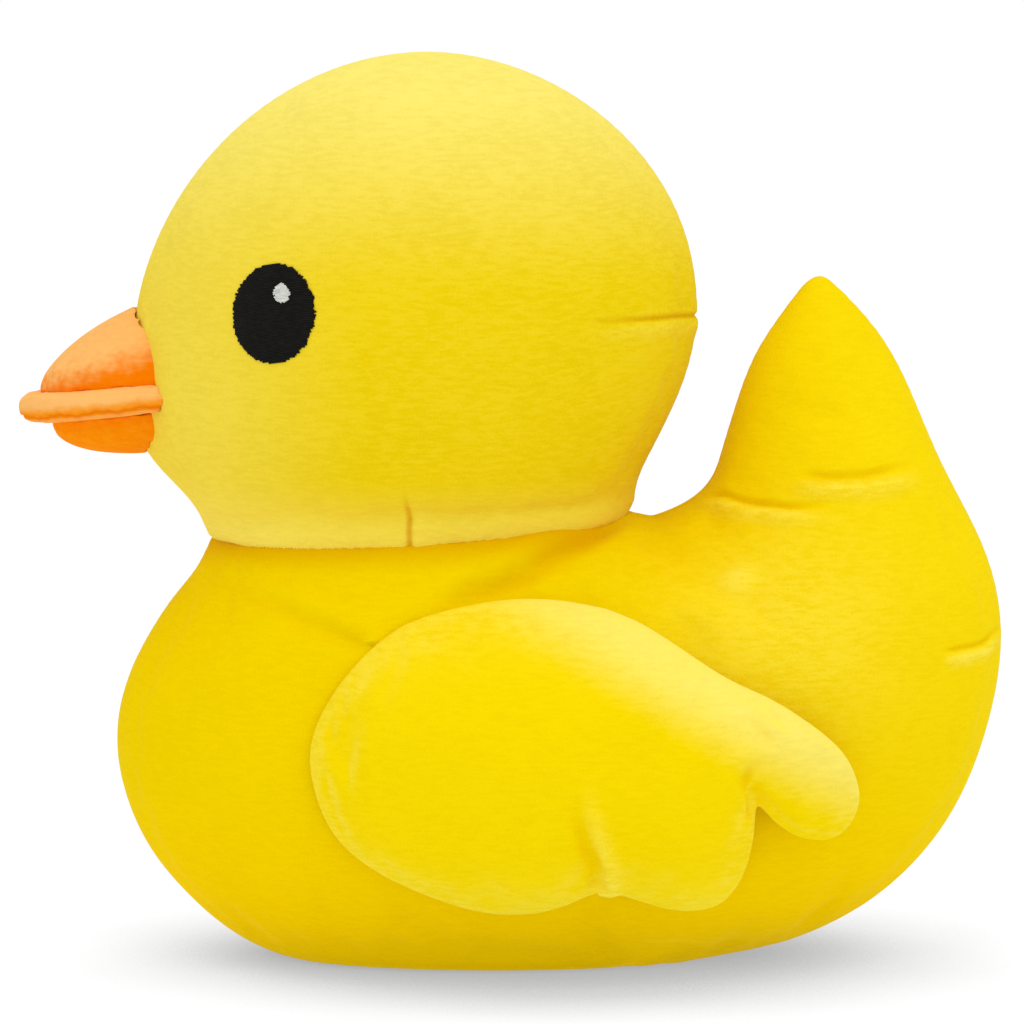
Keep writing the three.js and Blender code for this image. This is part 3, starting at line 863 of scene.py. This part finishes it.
def embroider(name, side, spot, tree, skin, material, nodes):
    """Lays an oval of satin rows on the skin."""
    width, height = np.array(spot["size"]) * MM
    values = {
        "Width": width,
        "Height": height,
        "Pitch": spot["pitch"] * MM,
        "Thread Radius": THREAD_RADIUS * MM,
        "Ragged": spot["ragged"] * MM,
        "Seed": spot["seed"] + (0 if side == "left" else 1),
        "Material": material,
    }
    piece = run_tree(name, tree, values)
    sign = 1 if side == "left" else -1
    x, y, z = spot["centre"]
    middle = Vector((x * sign, y, z)) * MM
    out = skin.find_nearest(middle)[1]
    along = Vector((0, 0, 1)).cross(out).normalized()
    up = out.cross(along)
    turn = Matrix.Rotation(math.radians(spot["tilt"]), 3, "Z")
    points = points_of(piece.data)
    for i, point in enumerate(points):
        flat = turn @ Vector((point[0], point[1], 0))
        above = middle + along * flat.x + up * flat.y + out * 30 * MM
        hit, normal, _, _ = skin.ray_cast(above, -out)
        share = (flat.x / (width / 2)) ** 2 + (flat.y / (height / 2)) ** 2
        raised = (spot["lift"] + spot["dome"] * math.sqrt(max(0.0, 1.0 - share))) * MM
        points[i] = hit + normal * (raised + point[2])
    set_points(piece.data, points)
    shade_smooth(piece)
    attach(piece, "root")
    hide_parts(*nodes)


def make_eyes(head, black, white):
    """The embroidered eyes and the glints on them."""
    skin = BVHTree.FromObject(head, bpy.context.evaluated_depsgraph_get())
    tree = satin_tree()
    for side in ("left", "right"):
        embroider(f"eye_{side}_satin", side, EYE, tree, skin, black, [f"eye_{side}"])
        embroider(f"eye_glint_{side}_satin", side, GLINT, tree, skin, white,
                  [f"eye_glint_{side}"])


def make_stage():
    """A plain pale floor that glows white with a painted shadow where the duck covers it, soft light
    from above and in front, and the camera.
    """
    bpy.ops.mesh.primitive_plane_add(size=FLOOR_SIZE * MM)
    floor = bpy.context.object
    floor.name = "floor"
    material, tree, place = finish_of("pale_floor", "floor")
    grain = tree.noise(place, 3.0, 1.0)
    # Painted shadow: the floor's light dims to grey by ambient occlusion near the duck
    open_share = tree.node(
        "ShaderNodeAmbientOcclusion", {"samples": 4}, {"Distance": SHADE_REACH * MM}, output="AO"
    )
    glow_with_painted_shadow = tree.mix(tree.between(open_share, 0.0, 0.8), rgba(*SHADE_GREY), rgba(255, 255, 255))
    constants = {"Specular IOR Level": 0.0, "Emission Color": glow_with_painted_shadow, "Emission Strength": 1.0}
    surface(tree, rgba(40, 40, 40), 0.8, grain, 0.02, 0.1, constants)
    floor.data.materials.append(material)

    world = bpy.data.worlds.new("white_room")
    world.use_nodes = True
    world.node_tree.nodes.clear()
    room = Tree(world.node_tree)
    seen = room.node("ShaderNodeLightPath", None, None, output="Is Camera Ray")
    strength = seen * (1.0 - ROOM_LIGHT) + ROOM_LIGHT
    background = room.node(
        "ShaderNodeBackground", None, {"Color": (1, 1, 1, 1), "Strength": strength}
    )
    room.node("ShaderNodeOutputWorld", None, {"Surface": background})
    bpy.context.scene.world = world

    light = bpy.data.lights.new("skylight", "SUN")
    light.energy = SUN_POWER
    light.angle = math.radians(SUN_SPREAD)
    lamp = bpy.data.objects.new("skylight", light)
    lamp.rotation_euler = Vector(SUN_DIRECTION).to_track_quat("-Z", "Y").to_euler()
    bpy.context.scene.collection.objects.link(lamp)

    camera = bpy.data.cameras.new("camera")
    camera.lens = CAMERA_LENS
    camera.sensor_width = 36.0
    camera.clip_end = 50.0
    view = bpy.data.objects.new("camera", camera)
    rise = math.radians(CAMERA_ELEVATION)
    back = Vector((math.cos(rise), 0, math.sin(rise)))
    view.location = (Vector(CAMERA_TARGET) + back * CAMERA_DISTANCE) * MM
    view.rotation_euler = (-back).to_track_quat("-Z", "Y").to_euler()
    bpy.context.scene.collection.objects.link(view)
    bpy.context.scene.camera = view
    bpy.context.scene.view_settings.view_transform = "Standard"


# Each pile's high colour is a painted highlight and its low colour painted light and shade on the
# lower part
head_yellow = yellow_pile(
    "yellow_pile_head", low=(250, 226, 82), middle=(241, 211, 12), high=(252, 236, 116),
    heights=(116, 138, 185, 252), rear=0.0, front=0.34, flecks=0.14, sheen=0.08, grain=0.42,
)
body_yellow = yellow_pile(
    "yellow_pile_body", low=(252, 208, 0), middle=(245, 212, 0), high=(249, 219, 10),
    heights=(0, 58, 300, 520), rear=3.0, front=0.0, flecks=0.0, sheen=0.06, grain=0.28,
)
wing_yellow = yellow_pile(
    "yellow_pile_wing", low=(251, 223, 8), middle=(248, 218, 2), high=(252, 234, 106),
    heights=(20, 40, 96, 117), rear=0.6, front=0.0, flecks=0.0, sheen=0.06, grain=0.3,
)
black = thread("black_satin", "black_thread", (17, 16, 13), (26, 25, 21))
white = thread("white_satin", "white_thread", (196, 196, 190), (226, 226, 220))

make_stage()
head = make_head(head_yellow)
make_body(body_yellow)
for side in ("left", "right"):
    make_wing(side, wing_yellow)
make_bill()
make_eyes(head, black, white)
